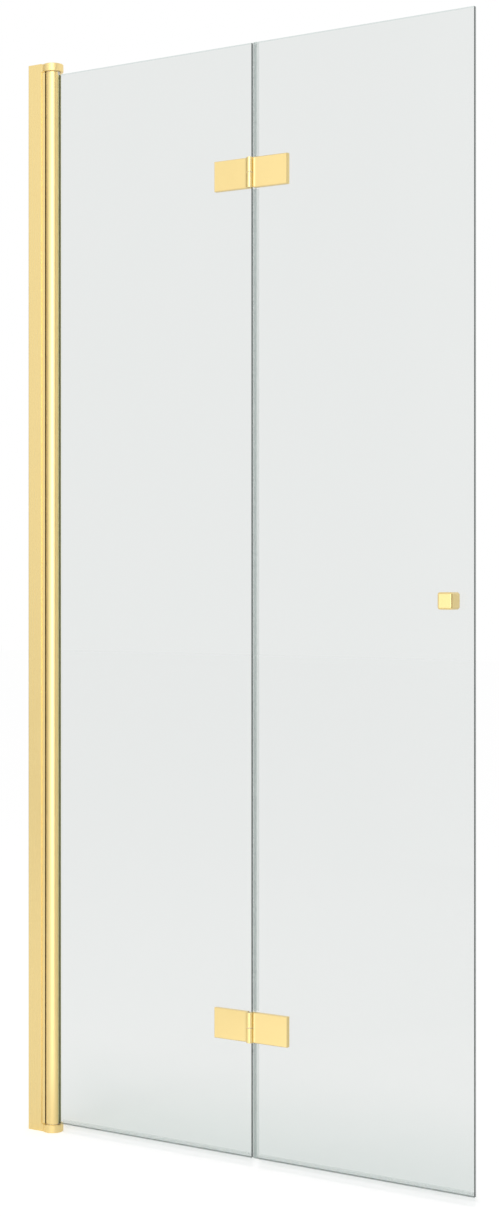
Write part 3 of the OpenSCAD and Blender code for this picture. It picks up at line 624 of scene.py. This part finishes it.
# Flat discs behind the glass, countersunk for the screws, in millimetres
DISC_R = 11
DISC_FRONT = 3.8
DISC_BACK = 6.8
BORE_R = 3.05
SINK_R = 6.25
clamp_disc = turned("clamp_disc", in_mm([
    (BORE_R, DISC_FRONT), (DISC_R - 0.3, DISC_FRONT), (DISC_R, DISC_FRONT + 0.2),
    (DISC_R, DISC_BACK - 0.7), (DISC_R - 0.1, DISC_BACK - 0.35), (DISC_R - 0.35, DISC_BACK - 0.1),
    (DISC_R - 0.7, DISC_BACK), (SINK_R, DISC_BACK), (SINK_R - 0.17, DISC_BACK - 0.08),
    (BORE_R, DISC_FRONT + 0.1), (BORE_R, DISC_FRONT),
]))

# Countersunk screws with a hexagonal socket, in millimetres
HEXAGON = 6
SCREW_R = 3
SCREW_TIP = -9.45
TIP_CHAMFER = 0.5
SHANK_END = 3.75
HEAD_R = 5.98
HEAD_BACK = 6.75
SOCKET_R = 2.15
SOCKET_FLOOR = 4.75
SOCKET_CHAMFER = 0.25
clamp_screw = turned("clamp_screw", in_mm([
    (0, SCREW_TIP), (SCREW_R - TIP_CHAMFER, SCREW_TIP), (SCREW_R, SCREW_TIP + TIP_CHAMFER),
    (SCREW_R, SHANK_END), (HEAD_R - 0.08, HEAD_BACK - 0.13), (HEAD_R, HEAD_BACK - 0.05),
    (HEAD_R - 0.18, HEAD_BACK), (SOCKET_R + SOCKET_CHAMFER, HEAD_BACK, HEXAGON),
    (SOCKET_R, HEAD_BACK - SOCKET_CHAMFER, HEXAGON), (SOCKET_R, SOCKET_FLOOR, HEXAGON),
    (SOCKET_R - SOCKET_CHAMFER, SOCKET_FLOOR), (0, SOCKET_FLOOR - 0.4),
]))

for leaf, side in (("inner", -1), ("outer", 1)):
    clamp_places = {
        "Columns": 2,
        "Rows": 2,
        "First place": (FOLD_X + side * PLATE_MIDDLE - CLAMP_PITCH / 2, 0, LOWER_HINGE_Z),
        "Column step": (CLAMP_PITCH, 0, 0),
        "Row step": (0, 0, UPPER_HINGE_Z - LOWER_HINGE_Z),
    }
    set_out(
        leaf + "_clamp_discs", clamp_disc, clamp_places,
        leaf + "_hinge_discs", leaf + "_leaf", "fitting_gold", fitting_gold,
    )
    set_out(
        leaf + "_clamp_screws", clamp_screw, clamp_places,
        leaf + "_hinge_screws", leaf + "_leaf", "steel", steel,
    )

# Seals under the panes: a slot for the glass, a leg down to the tray and a drip lip inside
bed = GLASS_FOOT - SEAT
base = bed - SEAL_WALL
grip = GLASS_FOOT + SEAL_GRIP
inside = GLASS_HALF + SEAT
outside = inside + SEAL_WALL
leg = SEAL_WALL / 2
bottom_section = eased([
    (-leg, SEAL_FOOT), (leg, SEAL_FOOT), (leg, base), (inside, base),
    (LIP_REACH - LIP_EDGE, LIP_FOOT), (LIP_REACH, LIP_FOOT + LIP_EDGE),
    (outside, bed), (outside, grip), (inside, grip), (inside, bed),
    (-inside, bed), (-inside, grip), (-outside, grip), (-outside, base), (-leg, base),
], SEAL_ROUNDING)
drawn(
    "first_pane_seal", bottom_section, FIRST_SEAL_START, INNER_PANE_END,
    "inner_bottom_seal", "inner_leaf", "clear_seal", clear_seal,
)
drawn(
    "second_pane_seal", bottom_section, SECOND_SEAL_START, FREE_EDGE_X,
    "outer_bottom_seal", "outer_leaf", "clear_seal", clear_seal,
)

# CAD pieces that keep their shape and take a finish
FINISH_OF_NODE = {
    "adjusting_screws": steel,
    "bracket_screws": steel,
    "top_pivot_pin": steel,
    "bottom_pivot_pin": steel,
    "upper_hinge_pin": steel,
    "lower_hinge_pin": steel,
    "knob_screw": steel,
    "knob_disc": fitting_gold,
    "post_wiper_seal": dark_seal,
    "glazing_gasket": gasket_with_painted_gold_shade,
    "seam_seal": shaded_seam_vinyl,
    "post_top_bush": white_plastic,
    "post_bottom_bush": white_plastic,
    "upper_hinge_bush": white_plastic,
    "lower_hinge_bush": white_plastic,
    "glass_setting_blocks": white_plastic,
    "inner_hinge_pads": clear_pad,
    "outer_hinge_pads": clear_pad,
    "inner_hinge_sleeves": clear_pad,
    "outer_hinge_sleeves": clear_pad,
    "inner_hinge_disc_pads": clear_pad,
    "outer_hinge_disc_pads": clear_pad,
    "knob_pad": clear_pad,
    "knob_sleeve": clear_pad,
    "knob_disc_pad": clear_pad,
}
for node, finish in FINISH_OF_NODE.items():
    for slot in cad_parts[node].material_slots:
        slot.material = finish


# Studio
FLOOR_HALF = 20
FLOOR_LEVEL = -0.3 * MM
CARD_FOOT = 0.02
CARD_HEIGHT = 2.6
FACING_DOOR = (math.radians(90), 0, 0)
FACING_UP_FROM_POST = (math.radians(180), 0, math.radians(30))


def studio_world():
    """White where it is looked at, reflected or seen through the glass, and a softer light elsewhere."""
    world = bpy.data.worlds.new("studio")
    world.use_nodes = True
    tree = Tree(world.node_tree)
    rays = tree.add("ShaderNodeLightPath", None, None, "Is Camera Ray")
    seen = rays.at_least(rays.out("Is Glossy Ray")).at_least(rays.out("Is Transmission Ray"))
    soft = tree.add("ShaderNodeBackground", None, {"Color": WHITE, "Strength": 0.65})
    white = tree.add("ShaderNodeBackground", None, {"Color": WHITE, "Strength": 1.0})
    light = tree.add("ShaderNodeMixShader", None, {0: seen, 1: soft, 2: white})
    tree.add("ShaderNodeOutputWorld", None, {"Surface": light})
    bpy.context.scene.world = world


def sheet(name, corners, finish):
    """A flat four-cornered piece that only dresses the studio."""
    piece = new_piece(name, mesh_of(name, corners, (), [(0, 1, 2, 3)]), finish)
    return piece


def studio_floor():
    """Plain white floor that keeps the door's shadow, and a little darker where metal reflects it."""
    material, tree = new_finish("floor_white")
    rays = tree.add("ShaderNodeLightPath", None, None, "Is Camera Ray")
    seen = rays.at_least(rays.out("Is Transmission Ray"))
    matt = tree.add("ShaderNodeBsdfDiffuse", None, {"Color": (0.88, 0.88, 0.88, 1)})
    lift = seen * 0.42 + rays.out("Is Glossy Ray") * 0.27
    glow = tree.add("ShaderNodeEmission", None, {"Color": WHITE, "Strength": lift})
    both = tree.add("ShaderNodeAddShader", None, {0: matt, 1: glow})
    tree.add("ShaderNodeOutputMaterial", None, {"Surface": both})
    corners = [(-1, -1), (1, -1), (1, 1), (-1, 1)]
    sheet("floor", [(x * FLOOR_HALF, y * FLOOR_HALF, FLOOR_LEVEL) for x, y in corners], material)


def grey_card(name, start, end, grey):
    """An upright card beside the door, which shows only in reflections."""
    material, tree = new_finish(name + "_grey")
    matt = tree.add("ShaderNodeBsdfDiffuse", None, {"Color": (grey, grey, grey, 1)})
    tree.add("ShaderNodeOutputMaterial", None, {"Surface": matt})
    top = CARD_FOOT + CARD_HEIGHT
    corners = [(*start, CARD_FOOT), (*end, CARD_FOOT), (*end, top), (*start, top)]
    card = sheet(name, corners, material)
    card.visible_camera = False
    card.visible_transmission = False
    card.visible_diffuse = False
    card.visible_shadow = False


def lamp_box(name, centre, turn, width, height, level=1.0):
    """A flat lamp, at level 1 as bright as the white. It shows in reflections at the most."""
    lamp = bpy.data.lights.new(name, "AREA")
    lamp.shape = "RECTANGLE"
    lamp.size = width
    lamp.size_y = height
    lamp.energy = math.pi * width * height * level
    box = bpy.data.objects.new(name, lamp)
    box.location = centre
    box.rotation_euler = turn
    box.visible_camera = False
    box.visible_transmission = False
    bpy.context.scene.collection.objects.link(box)
    return box


def graded_lamp(name, centre, turn, width, height):
    """A lamp that lights reflections only. Returns its tree, and the place on it to grade by."""
    box = lamp_box(name, centre, turn, width, height)
    box.visible_diffuse = False
    box.data.use_nodes = True
    tree = Tree(box.data.node_tree)
    return tree, tree.add("ShaderNodeNewGeometry", None, None, "Parametric")


def hump(tree, along, rise, fall, level):
    """Eases up to a level over the rise and down over the fall, in shares of the lamp's width."""
    return ramp(tree, along, *rise) * ramp(tree, along, *reversed(fall)) * level


def end_grading(tree, strength):
    glow = tree.add("ShaderNodeEmission", None, {"Color": WHITE, "Strength": strength})
    tree.add("ShaderNodeOutputLight", None, {"Surface": glow})


def fill_light():
    """Lights the matt things, with no shape of its own in the metal."""
    box = lamp_box("fill", (0.75, -3.2, 1.5), FACING_DOOR, 3.1, 2.4, level=1.6)
    box.visible_glossy = False


def key_light():
    """Wide softbox on top of the white, graded from left to right: a soft wash for the knob,
    and in it a bright band for the post and the hinge barrels."""
    tree, across = graded_lamp("key", (2.2, -3.4, 1.62), FACING_DOOR, 8.2, 3.2)
    along = place_along(tree, across, "X")
    wash = hump(tree, along, rise=(0.08, 0.13), fall=(0.54, 1.0), level=0.56)
    band = hump(tree, along, rise=(0.24, 0.39), fall=(0.46, 0.63), level=1.95)
    end_grading(tree, wash + band)


def low_light():
    """Strip along the floor, brighter away from the door, that carries the highlight on down
    the post and the lower hinge."""
    tree, across = graded_lamp("low_strip", (0.97, -1.68, 0.01), FACING_UP_FROM_POST, 0.7, 3.4)
    end_grading(tree, place_along(tree, across, "Y") * 0.8 + 0.3)


def camera():
    """Looks at the door as the photo does: level, from the right, with the lens shifted."""
    lens = bpy.data.cameras.new("camera")
    lens.lens = 60.69
    lens.sensor_width = 36
    lens.shift_x = 0.0091
    lens.shift_y = -0.02422
    stand = bpy.data.objects.new("camera", lens)
    stand.location = (2.3036, -2.9812, 1.0087)
    stand.rotation_euler = (math.radians(90), 0, math.radians(32.535))
    bpy.context.scene.collection.objects.link(stand)
    bpy.context.scene.camera = stand


studio_world()
studio_floor()
grey_card("right_card", (1.42, -0.86), (1.62, -0.26), 0.85)
grey_card("left_card", (-2.35, -1.85), (-3.0, 0.4), 0.62)
fill_light()
key_light()
low_light()
camera()
bpy.context.scene.view_settings.view_transform = "Standard"
